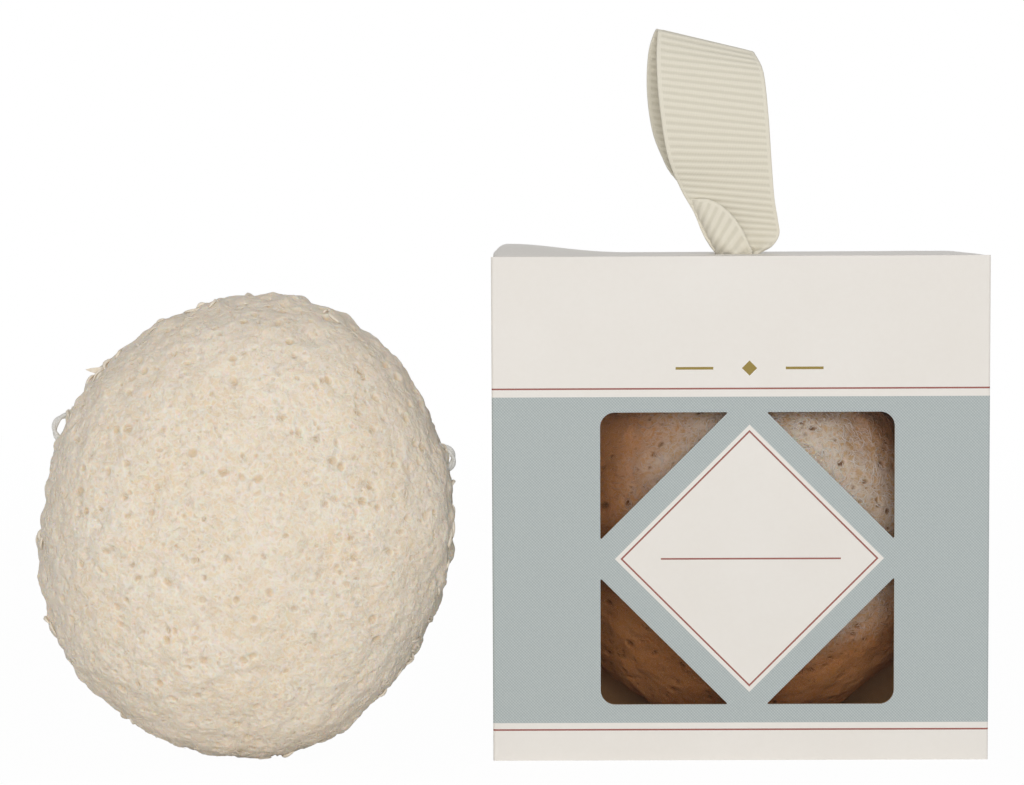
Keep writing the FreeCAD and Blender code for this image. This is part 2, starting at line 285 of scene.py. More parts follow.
def surface(name, grids, values=(), around=False):
    """A mesh in mm of grids of points, one face to a cell; equal points are merged, which closes
    seams and poles, and the faces are turned so that the enclosed volume is positive."""
    faces, count = [], 0
    for grid in grids:
        rows, columns = grid.shape[:2]
        index = np.arange(rows * columns).reshape(rows, columns) + count
        if around:
            index = np.concatenate([index, index[:, :1]], axis=1)
        cell = index[:-1, :-1], index[:-1, 1:], index[1:, 1:], index[1:, :-1]
        faces.append(np.stack(cell, axis=-1).reshape(-1, 4))
        count += rows * columns
    points = np.concatenate([grid.reshape(-1, 3) for grid in grids])
    _, first, same = np.unique(
        np.round(points, 4), axis=0, return_index=True, return_inverse=True)
    quads = same.ravel()[np.concatenate(faces)]
    a, b, c, d = (points[first][quads[:, k]] for k in range(4))
    volume = (np.cross(b - a, c - a) * a).sum() + (np.cross(c - a, d - a) * a).sum()
    if volume < 0:
        quads = quads[:, ::-1]
    keep = quads != np.roll(quads, -1, axis=1)
    sound = keep.sum(axis=1) > 2
    quads, keep = quads[sound], keep[sound]
    sizes = keep.sum(axis=1)
    mesh = bpy.data.meshes.new(name)
    mesh.vertices.add(len(first))
    mesh.loops.add(int(sizes.sum()))
    mesh.polygons.add(len(sizes))
    mesh.vertices.foreach_set("co", (points[first] / 1000.0).ravel())
    mesh.loops.foreach_set("vertex_index", quads[keep].astype(np.int32))
    mesh.polygons.foreach_set("loop_start", (np.cumsum(sizes) - sizes).astype(np.int32))
    mesh.update(calc_edges=True)
    for key, value in dict(values).items():
        layer = mesh.attributes.new(key, "FLOAT", "POINT")
        layer.data.foreach_set("value", value.ravel()[first].astype(np.float32))
    mesh.shade_smooth()
    piece = bpy.data.objects.new(name, mesh)
    bpy.context.scene.collection.objects.link(piece)
    return piece


def chance(cells, seed):
    """A number from 0 to 1 for each cell: its three whole numbers multiplied, added and folded."""
    factors, stir, low_bits = np.array([374761393, 668265263, 1440662683]), 1274126177, 0xFFFFFFFF
    mixed = (cells @ factors + seed * stir) & low_bits
    mixed = ((mixed ^ (mixed >> 13)) * stir) & low_bits
    mixed = ((mixed ^ (mixed >> 15)) * factors[1]) & low_bits
    return (mixed ^ (mixed >> 16)) / 2.0**32


def lumps(points, size, seed):
    """Smooth noise from -1 to 1: chances at the corners of cubes of that size, blended across
    each cube with the weight 3t^2 - 2t^3 along each side."""
    cells = np.floor(points / size).astype(np.int64)
    share = points / size - cells
    share = share * share * (3.0 - 2.0 * share)
    total = np.zeros(points.shape[:-1])
    for corner in product((0, 1), repeat=3):
        weight = np.where(corner, share, 1.0 - share).prod(axis=-1)
        total += weight * chance(cells + np.array(corner), seed)
    return 2.0 * total - 1.0


def bubbles(points, cell, small, large, filled, seed):
    """Pits left by bubbles. A filled share of the cubes of a lattice holds one ball each, with a
    radius from small to large. Within a ball a point lies (1 - (d / radius)^2)^1.5 deep, 0 to 1,
    and the deepest ball counts. Gives that depth, and the same times the radius in mm."""
    home = np.floor(points / cell).astype(np.int64)
    deepest, sunk = np.zeros(points.shape[:-1]), np.zeros(points.shape[:-1])
    for step in product((-1, 0, 1), repeat=3):
        cube = home + np.array(step)
        middle = np.stack([chance(cube, seed + k) for k in range(3)], axis=-1)
        radius = small + (large - small) * chance(cube, seed + 3) ** 2
        away = np.linalg.norm(points - (cube + middle) * cell, axis=-1) / radius
        pit = np.clip(1.0 - away**2, 0.0, 1.0) ** 1.5 * (chance(cube, seed + 4) < filled)
        deepest = np.maximum(deepest, pit)
        sunk = np.maximum(sunk, pit * radius)
    return deepest, sunk


foam_half_width, foam_half_height, foam_half_depth = 34.85, 38.95, 22.0
foam_dome, foam_back, foam_back_share = 25.0, 15.0, 0.7
foam_foot = 0.8


def foam_reach(angle):
    """Oval of the foam's rim, mm from its middle: an ellipse, swelled a little in 2, 3, 5 lobes."""
    swell = 1.0
    for lobes, share, peak in ((2.0, 0.024, 45.0), (3.0, 0.008, 62.0), (5.0, 0.009, 69.0)):
        swell = swell + share * np.cos(lobes * (angle - np.radians(peak)))
    return swell / np.hypot(np.cos(angle) / foam_half_width, np.sin(angle) / foam_half_height)


def oval(turned):
    """The rim's oval as rows of x and z, turned by that many degrees."""
    angle = np.radians(np.arange(360.0))
    return foam_reach(angle - np.radians(turned)) * np.array([np.cos(angle), np.sin(angle)])


def foam_skin(front, around, skew):
    """Bare shape of the foam, mm from its middle, by latitude to the front and angle round it. The
    latitude gives the size of the oval there and the depth: cosine and sine in front of the rim,
    a shoulder and then a flat back behind it. skew moves the top of the dome, in mm."""
    behind = np.clip(-front / np.radians(52.0), 0.0, 1.0) * np.pi / 2.0
    flat = np.clip((np.pi / 2.0 + front) / np.radians(38.0), 0.0, 1.0)
    back_size = (foam_back_share + (1.0 - foam_back_share) * np.cos(behind)) * flat
    size = np.where(front > 0.0, np.cos(front), back_size)
    depth = np.where(front > 0.0, -foam_dome * np.sin(front), foam_back * np.sin(behind))
    reach = size * foam_reach(around)
    dome = np.clip(np.sin(front), 0.0, 1.0) ** 2
    x, z = reach * np.cos(around) + dome * skew[0], reach * np.sin(around) + dome * skew[1]
    return np.stack([x, depth, z], axis=-1)


def foam_lift(points, seed):
    """Direction straight out of the skin at these points, and how far lumps lift it there in mm:
    the sum of six sizes of lumps, the large ones higher on the dome, two others at the rim."""
    out = points / np.array([foam_half_width, foam_half_depth, foam_half_height]) ** 2
    out = out / np.maximum(np.linalg.norm(out, axis=-1, keepdims=True), 1e-9)
    edge = 1.0 + 0.9 * np.exp(-((points[..., 1] + 1.5) / 4.0) ** 2)
    dome = np.clip(-points[..., 1] / foam_dome, 0.0, 1.0)
    lift = (0.40 + 0.35 * dome) * lumps(points, 11.0, seed) - 0.3
    lift = lift + 0.22 * dome * lumps(points, 5.5, seed + 8)
    lift = lift + edge * (0.36 * lumps(points, 4.2, seed + 1) + 0.30 * lumps(points, 2.4, seed + 2))
    lift = lift + 0.17 * lumps(points, 1.2, seed + 3) + 0.06 * lumps(points, 0.7, seed + 7)
    return out, lift


def foam(sides, seed, skew):
    """Half-ball of foam on the six faces of a cube blown up to a ball, each direction taken to the
    skin there. Lumps push the skin out, bubbles sink it. Also gives how deep each point is in a
    bubble, 0 to 1."""
    even = np.tan(np.linspace(-1.0, 1.0, sides) * np.pi / 4.0)
    u, v = np.meshgrid(even, even, indexing="ij")
    one = np.ones_like(u)
    cube = [(one, u, v), (-one, v, u), (v, one, u), (u, -one, v), (u, v, one), (v, u, -one)]
    way = np.array([np.stack(face, axis=-1) for face in cube])
    way = way / np.linalg.norm(way, axis=-1, keepdims=True)
    points = foam_skin(np.arcsin(-way[..., 1]), np.arctan2(way[..., 2], way[..., 0]), skew)
    out, lift = foam_lift(points, seed)
    warped = points + 0.35 * np.stack([lumps(points, 1.3, seed + k) for k in (4, 5, 6)], axis=-1)
    large, large_sunk = bubbles(warped, 2.1, 0.40, 1.05, 0.95, seed + 10)
    middling, middling_sunk = bubbles(warped, 1.2, 0.34, 0.62, 0.95, seed + 20)
    small, small_sunk = bubbles(points, 0.8, 0.22, 0.36, 0.9, seed + 30)
    sunk = np.maximum(np.maximum(0.9 * large_sunk, 0.6 * middling_sunk), 0.6 * small_sunk)
    pore = np.maximum(np.maximum(large, 0.6 * middling), 0.4 * small)
    return points + out * (lift - sunk)[..., None], pore


def fibres(count, seed, skew, band, lengths, heights, radii):
    """Cottony strands on the skin. Each is a thin tube on an arch: it starts and ends in the skin,
    bends to one side and stands off a little in its middle. band gives the sines of the latitudes
    between which they lie; lengths, heights and radii are ranges in mm."""
    draw = np.random.default_rng(seed)
    front = np.arcsin(draw.uniform(*band, count))
    foot = foam_skin(front, draw.uniform(0.0, 2.0 * np.pi, count), skew)
    out, lift = foam_lift(foot, seed)
    foot = foot + out * lift[:, None]
    along = np.cross(out, draw.normal(size=(count, 3)))
    along = along / np.linalg.norm(along, axis=1, keepdims=True)
    side = np.cross(out, along)
    length, height, radius = (
        draw.uniform(*ends, (count, 1, 1)) for ends in (lengths, heights, radii))
    t = np.linspace(0.0, 1.0, 7)[None, :, None]
    arch = np.sin(np.pi * t)
    bow = 0.3 * length * draw.uniform(-1.0, 1.0, (count, 1, 1))
    path = foot[:, None] + along[:, None] * length * (t - 0.5) + side[:, None] * bow * arch
    path = path + out[:, None] * (height * arch - 0.15)
    angle = np.radians([0.0, 90.0, 180.0, 270.0])[None, None, :, None]
    ring = np.cos(angle) * out[:, None, None] + np.sin(angle) * side[:, None, None]
    return path[:, :, None] + (radius * np.sqrt(np.abs(arch)))[:, :, None] * ring


def placed(grids, turned, middle):
    """Grids turned by that angle in the plane of the rim and moved to the foam's middle."""
    angle = np.radians(turned)
    turn = np.array([
        [np.cos(angle), 0.0, -np.sin(angle)], [0.0, 1.0, 0.0], [np.sin(angle), 0.0, np.cos(angle)]])
    return [grid @ turn.T + middle for grid in grids]


def foam_finish(name, pale, warm, rim, rim_shade_share, rim_shade_from, rim_shade_to, pit, pit_shade_share, net_share):
    """Cream foam. The skin changes slowly from warm to pale, with small pores painted in patches in
    the pits' tone. A net of fine strands is paler, and so are the lips of the bubbles: pale fibre
    with a painted highlight. Over that comes the rim's tone, painted shade that grows between two
    places in y, and last the pits' tone, painted shade that deepens into each bubble."""
    material, root, place, _, y, _ = finish(name)
    pore = root.node("Attribute", {"attribute_name": "pore"}, out="Fac")
    coarse = 1.0 - abs(place.noise(1.7, 2.0, 2.0) - 0.5).rise(0.0, 0.08)
    close = 1.0 - abs(place.noise(0.8, 2.0, 6.0) - 0.5).rise(0.0, 0.10)
    net = coarse | close * 0.7
    fine = place.noise(0.35, 3.0, 4.0)
    bend = root.node("TexNoise", (), {"Vector": place, "Scale": 0.9, "Detail": 2.0}, out="Color")
    shift = {0: bend, 1: (0.9, 0.9, 0.9), 2: place}
    bent = root.node("VectorMath", {"operation": "MULTIPLY_ADD"}, shift)
    cell = root.node("TexVoronoi", (), {"Vector": bent, "Scale": 1.25})
    patch = place.noise(5.0, 2.0, 9.0).rise(0.36, 0.56)
    micro = (1.0 - cell.rise(0.08, 0.42)) * patch
    # Pale lips round the bubbles: pale fibre with a painted highlight.
    lip_highlight = pore.rise(0.0, 0.12) * (1.0 - pore.rise(0.15, 0.45))
    skin = place.noise(9.0, 3.0).rise(0.3, 0.7).mix(warm, pale)
    # Small pores painted in patches in the pits' tone, which is painted shade.
    skin = (fine.rise(0.5, 0.8) * 0.2 | micro * 0.3).mix(skin, pit)
    skin = ((net | lip_highlight) * net_share).mix(skin, tint(250, 246, 240))
    # Painted shade: the rim's tone takes over between two places in y.
    skin = (y.rise(rim_shade_from, rim_shade_to) * rim_shade_share).mix(skin, rim)
    relief = net * 0.7 + fine * 0.3 - micro * 0.4
    # The pits' tone, strongest deep in each bubble, is painted shade in the pits.
    root.surface({
        "Base Color": (pore.rise(0.15, 0.9) * pit_shade_share).mix(skin, pit),
        "Roughness": 0.95,
        "Specular IOR Level": 0.1,
        "Subsurface Weight": 0.75,
        "Subsurface Radius": (1.0, 0.75, 0.5),
        "Subsurface Scale": 0.0009,
        "Normal": relief.bump(0.42, 0.30),
    })
    return material


def strand_finish(name, dull, pale, rim, rim_shade_share):
    """Torn strands of the skin, mottled from dull to pale, that take on the rim's tone, a painted
    shade, between two places in y."""
    rim_shade_from, rim_shade_to = -18.5, -9.0
    material, root, place, _, y, _ = finish(name)
    skin = place.noise(0.8, 3.0).rise(0.3, 0.7).mix(dull, pale)
    root.surface({
        # Painted shade: the rim's tone takes over between two places in y.
        "Base Color": (y.rise(rim_shade_from, rim_shade_to) * rim_shade_share).mix(skin, rim),
        "Roughness": 0.9,
        "Specular IOR Level": 0.15,
        "Normal": place.noise(0.3, 3.0).bump(0.4, 0.1),
    })
    return material


boxed_floor, boxed_turn, boxed_y = 1.15, 55.0, 6.5
boxed_skew, boxed_seed = (9.6, -6.7), 400
turned = oval(boxed_turn)
boxed_middle = np.array([
    -(turned[0].max() + turned[0].min()) / 2.0, boxed_y, boxed_floor - foam_foot - turned[1].min()])
# The boxed copy of the foam is browner and darker all over, with near-brown pits and a brown rim
# tone: painted shade of the closed carton.
boxed_foam = foam_finish(
    "shaded_boxed_konjac_foam", pale=tint(238, 214, 182), warm=tint(216, 182, 140),
    rim=tint(192, 122, 52), rim_shade_share=0.9, rim_shade_from=-18.5, rim_shade_to=-9.5,
    pit=tint(124, 82, 44), pit_shade_share=0.9, net_share=0.6)
points, pore = foam(120, boxed_seed, boxed_skew)
points = np.array(placed(points, boxed_turn, boxed_middle))
points[..., 2] = np.maximum(points[..., 2], boxed_floor)
boxed = surface("boxed_foam", list(points), {"pore": pore})
boxed.data.materials.append(boxed_foam)
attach(boxed, "boxed")
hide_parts("boxed_sponge")

strands = fibres(
    4100, boxed_seed, boxed_skew, band=(0.55, 1.0), lengths=(0.8, 2.4), heights=(0.05, 0.3),
    radii=(0.06, 0.10))
strands = surface("boxed_strands", placed(strands, boxed_turn, boxed_middle), around=True)
# The boxed strands are near white, paler than the loose sponge's: a painted highlight.
strands.data.materials.append(strand_finish(
    "boxed_torn_skin", dull=tint(246, 236, 222), pale=tint(253, 250, 245),
    rim=tint(190, 122, 56), rim_shade_share=0.95))
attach(strands, "boxed")

# ---- String of the boxed sponge ------------------------------------------------------------
# White cotton twine of two plies, threaded through the foam and tied into a closed loop, so that
# a small bight stands out at each side to hang it up by.
string_bend, string_sink, string_left, string_right = 2.2, 1.0, 150.5, 19.5
ply_radius, ply_offset, twist_pitch = 0.35, 0.21, 5.2


def tube(path, side, up, radius, sides=12):
    """Round tube along a path: circles of that radius in the plane of side and up."""
    angle = np.linspace(0.0, 2.0 * np.pi, sides, endpoint=False)[None, :, None]
    radius = np.broadcast_to(radius, path.shape[:1])[:, None, None]
    return path[:, None] + radius * (np.cos(angle) * side[:, None] + np.sin(angle) * up[:, None])


def twine():
    """Two plies wound round a closed racetrack in the plane of the foam's rim. The racetrack is
    given by the length along it: a straight run, a half turn, the run back, a half turn."""
    ends = np.radians([string_left, string_right])
    reach = foam_reach(ends) - string_sink
    middles = np.stack([reach * np.cos(ends), 0.0 * ends, reach * np.sin(ends)], axis=-1)
    run = middles[1] - middles[0]
    length = np.linalg.norm(run)
    run = run / length
    upward = np.array([-run[2], 0.0, run[0]])
    bend = np.pi * string_bend
    whole = 2.0 * (length + bend)
    at = np.linspace(0.0, whole, 900)
    first = np.clip(at, 0.0, length)
    turn = np.clip(at - length, 0.0, bend) / string_bend
    back = np.clip(at - length - bend, 0.0, length)
    turn = turn + np.clip(at - 2.0 * length - bend, 0.0, bend) / string_bend
    side = np.cos(turn)[:, None] * upward + np.sin(turn)[:, None] * run
    path = middles[0] + (first - back)[:, None] * run + string_bend * side
    inward = np.array([[0.0, 1.0, 0.0]])
    wind = 2.0 * np.pi * at / whole * np.round(whole / twist_pitch)
    plies = []
    for start in (0.0, np.pi):
        lift = np.cos(wind + start)[:, None] * side + np.sin(wind + start)[:, None] * inward
        plies.append(tube(path + ply_offset * lift, side, inward, ply_radius))
    t = np.linspace(0.0, 2.0 * np.pi, 160)
    ring = 0.50 + 0.24 * np.cos(3.0 * t)
    inside = (middles[0] + middles[1]) / 2.0 - string_bend * upward
    spread = np.cos(2.0 * t)[:, None] * run + np.sin(2.0 * t)[:, None] * inward
    knot = inside + ring[:, None] * spread + (0.42 * np.sin(3.0 * t))[:, None] * upward
    plies.append(tube(knot, spread, upward[None], 0.3))
    return plies


def twine_finish(name):
    """Raw white cotton with fine fuzz, in colour and as bump."""
    material, root, place, *_ = finish(name)
    fuzz = place.noise(0.25, 4.0)
    root.surface({
        "Base Color": fuzz.rise(0.3, 0.7).mix(tint(206, 203, 197), tint(238, 237, 233)),
        "Roughness": 0.9,
        "Specular IOR Level": 0.15,
        "Normal": fuzz.bump(0.6, 0.12),
    })
    return material


cotton_twine = twine_finish("cotton_twine")
boxed_twine = surface("boxed_twine", placed(twine(), boxed_turn, boxed_middle), around=True)
boxed_twine.data.materials.append(cotton_twine)
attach(boxed_twine, "boxed")
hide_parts("boxed_sponge_string")

# ---- Dust flaps ----------------------------------------------------------------------------
# The two side panels' top flaps, folded in under the lid; same board, brown side down.
dust_top = 82.85
dust_board = bare_finish("dust_flap_board", "z", dust_top, -1.0)
dress("left_dust_flap", dust_board)
dress("right_dust_flap", dust_board)

# ---- Lid -----------------------------------------------------------------------------------
# The back panel's top flap, folded over the dust flaps; the springy left dust flap bows it up
# at that end. A punched hole near the middle takes the ribbon.
lid_half_width, lid_front, lid_back, lid_middle = 40.68, -21.75, 23.0, 83.253
lid_edge, bow_left, bow_right = 0.3, 1.75, 0.15
punched, punch_radius = np.array([0.3, 0.0]), 3.55


def walls(middle, thickness, normal):
    """Both faces of a sheet as one closed strip: half the thickness to each side of its middle."""
    half = normal * np.asarray(thickness)[..., None] / 2.0
    return np.concatenate([middle + half, (middle - half)[:, ::-1]], axis=1)


def lid_bow(x, y):
    """Height in mm by which the lid bows up: a swell that falls off from the left end, and a
    much lower one at the right end, both fading out at the front crease and the back hinge."""
    left = np.clip((x + 41.2) / 2.6, 0.0, 1.0)
    left = (1.0 - (1.0 - left) ** 2) * np.exp(-(np.clip(x + 38.5, 0.0, None) / 12.5) ** 2)
    right = np.exp(-((x - 33.0) / 8.0) ** 2)
    front = np.clip((y - lid_front) / 12.0, 0.0, 1.0)
    back = np.clip((lid_back - y) / 12.0, 0.0, 1.0)
    fade = front * (2.0 - front) * back * (2.0 - back)
    return (bow_left * left + bow_right * right) * fade


def lid_sheet():
    """Flat ring of board from the hole to a rectangle with small round corners. Rows go round,
    columns go outwards; each edge point lies where the ray from the hole meets the rectangle."""
    angle = np.linspace(0.0, 2.0 * np.pi, 721)
    power = 60.0
    way = np.stack([np.cos(angle), np.sin(angle)], axis=-1)
    half_deep = (lid_back - lid_front) / 2.0
    middle_y = (lid_back + lid_front) / 2.0
    out = way / (np.abs(way) ** power).sum(axis=1, keepdims=True) ** (1.0 / power)
    edge = out * np.array([lid_half_width, half_deep]) + np.array([0.0, middle_y])
    to_edge = edge - punched
    rim = punch_radius * to_edge / np.linalg.norm(to_edge, axis=1, keepdims=True)
    share = np.linspace(0.0, 1.0, 60)[None, :, None]
    flat = punched + rim[:, None] * (1.0 - share) + to_edge[:, None] * share
    height = lid_middle + lid_bow(flat[..., 0], flat[..., 1])
    middle = np.concatenate([flat, height[..., None]], axis=-1)
    thick = np.full(middle.shape[:2], board)
    thick[:, [0, -1]] = lid_edge
    up = np.broadcast_to(np.array([0.0, 0.0, 1.0]), middle.shape)
    return walls(middle, thick, up)


def inner_half(grid):
    """0 on the outer and 1 on the inner half of the columns that walls() gives."""
    half = np.zeros((grid.shape[0], grid.shape[1] // 2))
    return np.concatenate([half, half + 1.0], axis=1)


flap_board = bare_finish("flap_board")
grid = lid_sheet()
lid = surface("lid_sheet", [grid], {"inner": inner_half(grid)}, around=True)
lid.data.materials.append(flap_board)
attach(lid, "lid")
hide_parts("lid_panel")

# ---- Tuck flap -----------------------------------------------------------------------------
# The lid's front flap, creased and pushed down behind the front panel; it leans in a little and
# its two lower corners are cut round.
tuck_half_width, tuck_deep, tuck_corner, tuck_lean = 39.48, 13.0, 7.0, 10.0
tuck_crease_y = -22.1


def tuck_sheet():
    """Rows go down the flap, columns across. The profile is the crease's quarter turn and then a
    straight lean; near the foot the half width follows a quarter circle."""
    down = np.linspace(0.0, tuck_deep, 60)[:, None]
    across = np.linspace(-1.0, 1.0, 80)[None, :]
    short = np.clip(down - (tuck_deep - tuck_corner), 0.0, tuck_corner)
    half = tuck_half_width - tuck_corner + np.sqrt(tuck_corner**2 - short**2)
    roll = 0.6 * np.exp(-down / 0.5)
    lean = np.radians(tuck_lean)
    y = tuck_crease_y + roll + down * np.sin(lean) * (1.0 - np.exp(-down / 0.8))
    z = lid_middle - down * np.cos(lean)
    middle = np.stack(np.broadcast_arrays(across * half, y, z), axis=-1)
    thick = np.full(middle.shape[:2], board)
    thick[[0, -1]] = 0.0
    front = np.array([0.0, -np.cos(lean), -np.sin(lean)])
    return walls(middle, thick, np.broadcast_to(front, middle.shape))


grid = tuck_sheet()
tuck = surface("tuck_sheet", [grid], {"inner": inner_half(grid)}, around=True)
tuck.data.materials.append(flap_board)
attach(tuck, "tuck")
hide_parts("tuck_flap")

# ---- Ribbon loop ---------------------------------------------------------------------------
# Cream rib-woven ribbon, doubled into a hanging loop. Both ends go down through the hole in the
# lid; just above it the front ply is gathered and the back ply rolls over it from the left.
hole_x = 500.0 * (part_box("ribbon_knot")[0].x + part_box("ribbon_knot")[1].x)
ribbon_width, rib_pitch, selvedge = 17.2, 1.22, 0.65
ribbon_edges = np.array([
    # left edge x, y, z and right edge x, y, z in mm from the hole at the top of the lid
    (-1.6, -0.6, -1.5, 2.0, -0.3, -1.5),
    (-3.0, -0.6, 0.2, 5.2, -0.6, 0.3),
    (-4.2, -0.5, 1.8, 6.9, -0.8, 1.5),
    (-5.4, -0.4, 3.8, 7.9, -1.0, 3.4),
    (-6.8, -0.8, 7.2, 7.6, -1.4, 5.8),
    (-9.1, -2.0, 11.2, 6.9, -2.2, 9.8),
    (-11.5, -4.6, 17.0, 6.3, -3.0, 16.4),
    (-12.9, -5.8, 25.8, 5.8, -2.9, 23.6),
    (-13.3, -5.0, 32.5, 5.1, -1.6, 30.6),
    (-13.1, -3.2, 36.9, 4.0, 0.3, 33.6),
    (-13.0, -1.9, 38.2, 3.3, 1.6, 34.6),
    (-13.6, -0.8, 37.6, 3.0, 2.6, 33.8),
    (-14.5, 1.0, 34.0, 2.4, 4.4, 30.4),
    (-14.6, 2.6, 27.6, 2.0, 5.9, 24.6),
    (-13.5, 3.2, 20.5, 2.6, 6.3, 18.0),
    (-10.8, 2.6, 14.0, 4.0, 5.4, 11.2),
    (-9.2, 1.8, 9.5, 5.0, 3.8, 6.0),
    (-11.4, 1.5, 5.5, 5.2, 2.4, 2.6),
    (-11.5, 1.2, 1.7, 4.4, 1.4, 0.3),
    (-10.2, 1.0, -2.0, 3.2, 1.1, -1.2),
    (-8.2, 1.0, -5.3, 2.6, 1.0, -2.0),
    (-6.7, 1.0, -8.0, 2.0, 1.0, -3.0),
])
roll_top, roll_foot, roll_radius = np.array([-8.3, 10.6]), np.array([-2.6, 0.0]), 1.9
back_ply, roll_from, roll_rows, roll_hold = 12.5, 13.5, 2.0, 5.0


def through(points, at):
    """A smooth line through points: between neighbours a cubic whose slope at each point is half
    the step between the points on either side of it."""
    ends = 2.0 * points[:1] - points[1:2], points, 2.0 * points[-1:] - points[-2:-1]
    padded = np.concatenate(ends)
    start = np.clip(at.astype(int), 0, len(points) - 2)
    t = (at - start)[:, None]
    a, b, c, d = (padded[start + k] for k in range(4))
    curve = 2.0 * b + (c - a) * t + (2.0 * a - 5.0 * b + 4.0 * c - d) * t**2
    return 0.5 * (curve + (3.0 * b - a - 3.0 * c + d) * t**3)


def ribbon_sheet(rows, columns):
    """Middle surface of the ribbon: straight across between its two edge lines, rows a fixed
    length apart. Left of the roll line the back ply, which starts at the row back_ply of the
    edges, goes round a cylinder of roll_radius and returns in front; close to the lid everything
    is drawn in to the hole."""
    at = np.linspace(0.0, len(ribbon_edges) - 1.0, 2000)
    line = through(ribbon_edges, at)
    step = np.linalg.norm(np.diff((line[:, :3] + line[:, 3:]) / 2.0, axis=0), axis=1)
    along = np.concatenate([[0.0], np.cumsum(step)])
    even = np.linspace(0.0, along[-1], rows)
    station = np.interp(even, along, at)
    line = through(ribbon_edges, station)
    across = np.linspace(0.0, 1.0, columns)[None, :, None]
    sheet = line[:, None, :3] * (1.0 - across) + line[:, None, 3:] * across
    fold = (roll_foot - roll_top) / np.linalg.norm(roll_foot - roll_top)
    beyond = np.array([fold[1], -fold[0]])
    past = (sheet[..., [0, 2]] - roll_top) @ beyond + roll_radius
    reached = np.clip((station - roll_from) / roll_rows, 0.0, 1.0)
    past = past - roll_hold * (1.0 - reached * reached * (3.0 - 2.0 * reached))[:, None]
    past = np.where((station > back_ply)[:, None], past, -1.0)
    turn = np.clip(past / roll_radius, 0.0, np.pi)
    rolled = roll_radius * np.sin(turn) - np.clip(past - np.pi * roll_radius, 0.0, None)
    shift = np.where(past > 0.0, rolled - past, 0.0)
    sheet[..., 0] += shift * beyond[0]
    sheet[..., 2] += shift * beyond[1]
    sheet[..., 1] -= roll_radius * (1.0 - np.cos(turn))
    low = np.clip((3.5 - sheet[..., 2]) / 3.5, 0.0, 1.0)
    sheet[..., 1] += 0.55 * low * np.sin(across[..., 0] * 6.0 * np.pi)
    wide = np.hypot(sheet[..., 0], sheet[..., 1])
    room = 3.0 + 3.2 * np.clip(sheet[..., 2] + 0.4, 0.0, None)
    sheet[..., :2] *= ((1.0 + (wide / room) ** 6) ** (-1.0 / 6.0))[..., None]
    return sheet, even


ribbon_rows, ribbon_columns = 720, 60
middle, along = ribbon_sheet(ribbon_rows, ribbon_columns)
across = np.linspace(-0.5, 0.5, ribbon_columns) * ribbon_width
normal = np.cross(np.gradient(middle, axis=1), np.gradient(middle, axis=0))
normal = normal / np.linalg.norm(normal, axis=-1, keepdims=True)
inner = np.clip((ribbon_width / 2.0 - selvedge - np.abs(across)) / 0.5, 0.0, 1.0)
rib = 0.5 - 0.5 * np.cos(2.0 * np.pi * along / rib_pitch)[:, None]
thick = 0.32 + (0.20 * rib - 0.06) * inner[None, :] + 0.07 * rib
thick[[0, -1]] = 0.0
grid = walls(middle, thick, normal) + np.array([hole_x, 0.0, carton_height])
both = np.concatenate([across, across[::-1]])
along_all = np.broadcast_to(along[:, None], grid.shape[:2])
across_all = np.broadcast_to(both[None, :], grid.shape[:2])
ribbon = surface("ribbon_weave", [grid], {"along": along_all, "across": across_all}, around=True)


def ribbon_finish(name):
    """Matt cream yarn: fine warp threads along the ribbon, shade in the grooves between ribs,
    a flat bound selvedge at both edges."""
    material, root, place, *_ = finish(name)
    run = root.node("Attribute", {"attribute_name": "along"}, out="Fac")
    side = root.node("Attribute", {"attribute_name": "across"}, out="Fac")
    ridge = 0.5 - (run * (2.0 * np.pi / rib_pitch) + np.pi / 2.0).sine() * 0.5
    groove = 1.0 - ridge.rise(0.0, 0.8)
    bound = abs(side) > ribbon_width / 2.0 - selvedge
    groove = groove * (1.0 - bound * 0.8)
    warp_pitch, pick_pitch = 0.26, 0.41
    warp = (side * (2.0 * np.pi / warp_pitch)).sine() * 0.5 + 0.5
    pick = (run * (2.0 * np.pi / pick_pitch)).sine() * 0.5 + 0.5
    fuzz = place.noise(0.3, 4.0)
    yarn = (warp * 0.5 + fuzz * 0.5).mix(tint(229, 223, 206), tint(239, 233, 217))
    colour = (groove * 0.5).mix(yarn, tint(207, 201, 182))
    relief = warp * (1.0 - bound) * 0.5 + pick * bound * 0.5 + fuzz * 0.5
    root.surface({
        "Base Color": colour,
        "Roughness": 0.78,
        "Specular IOR Level": 0.25,
        "Sheen Weight": 0.15,
        "Sheen Roughness": 0.5,
        "Normal": relief.bump(0.5, 0.06),
    })
    return material


ribbon_cream = ribbon_finish("ribbon_yarn")
ribbon.data.materials.append(ribbon_cream)
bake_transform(ribbon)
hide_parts("ribbon_loop")
along[-1] / 1000.0

# ---- Ribbon knot ---------------------------------------------------------------------------
# Under the lid both ends of the ribbon are tied in one knot, which keeps the loop from being
# pulled out; below it the two cut ends stand out to the sides.
knot_low, knot_high = (1000.0 * c.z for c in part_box("ribbon_knot"))
knot_side = 1000.0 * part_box("ribbon_knot")[1].x - hole_x
neck_share, neck_radius, knot_swell = 0.36, 2.9, 4.5


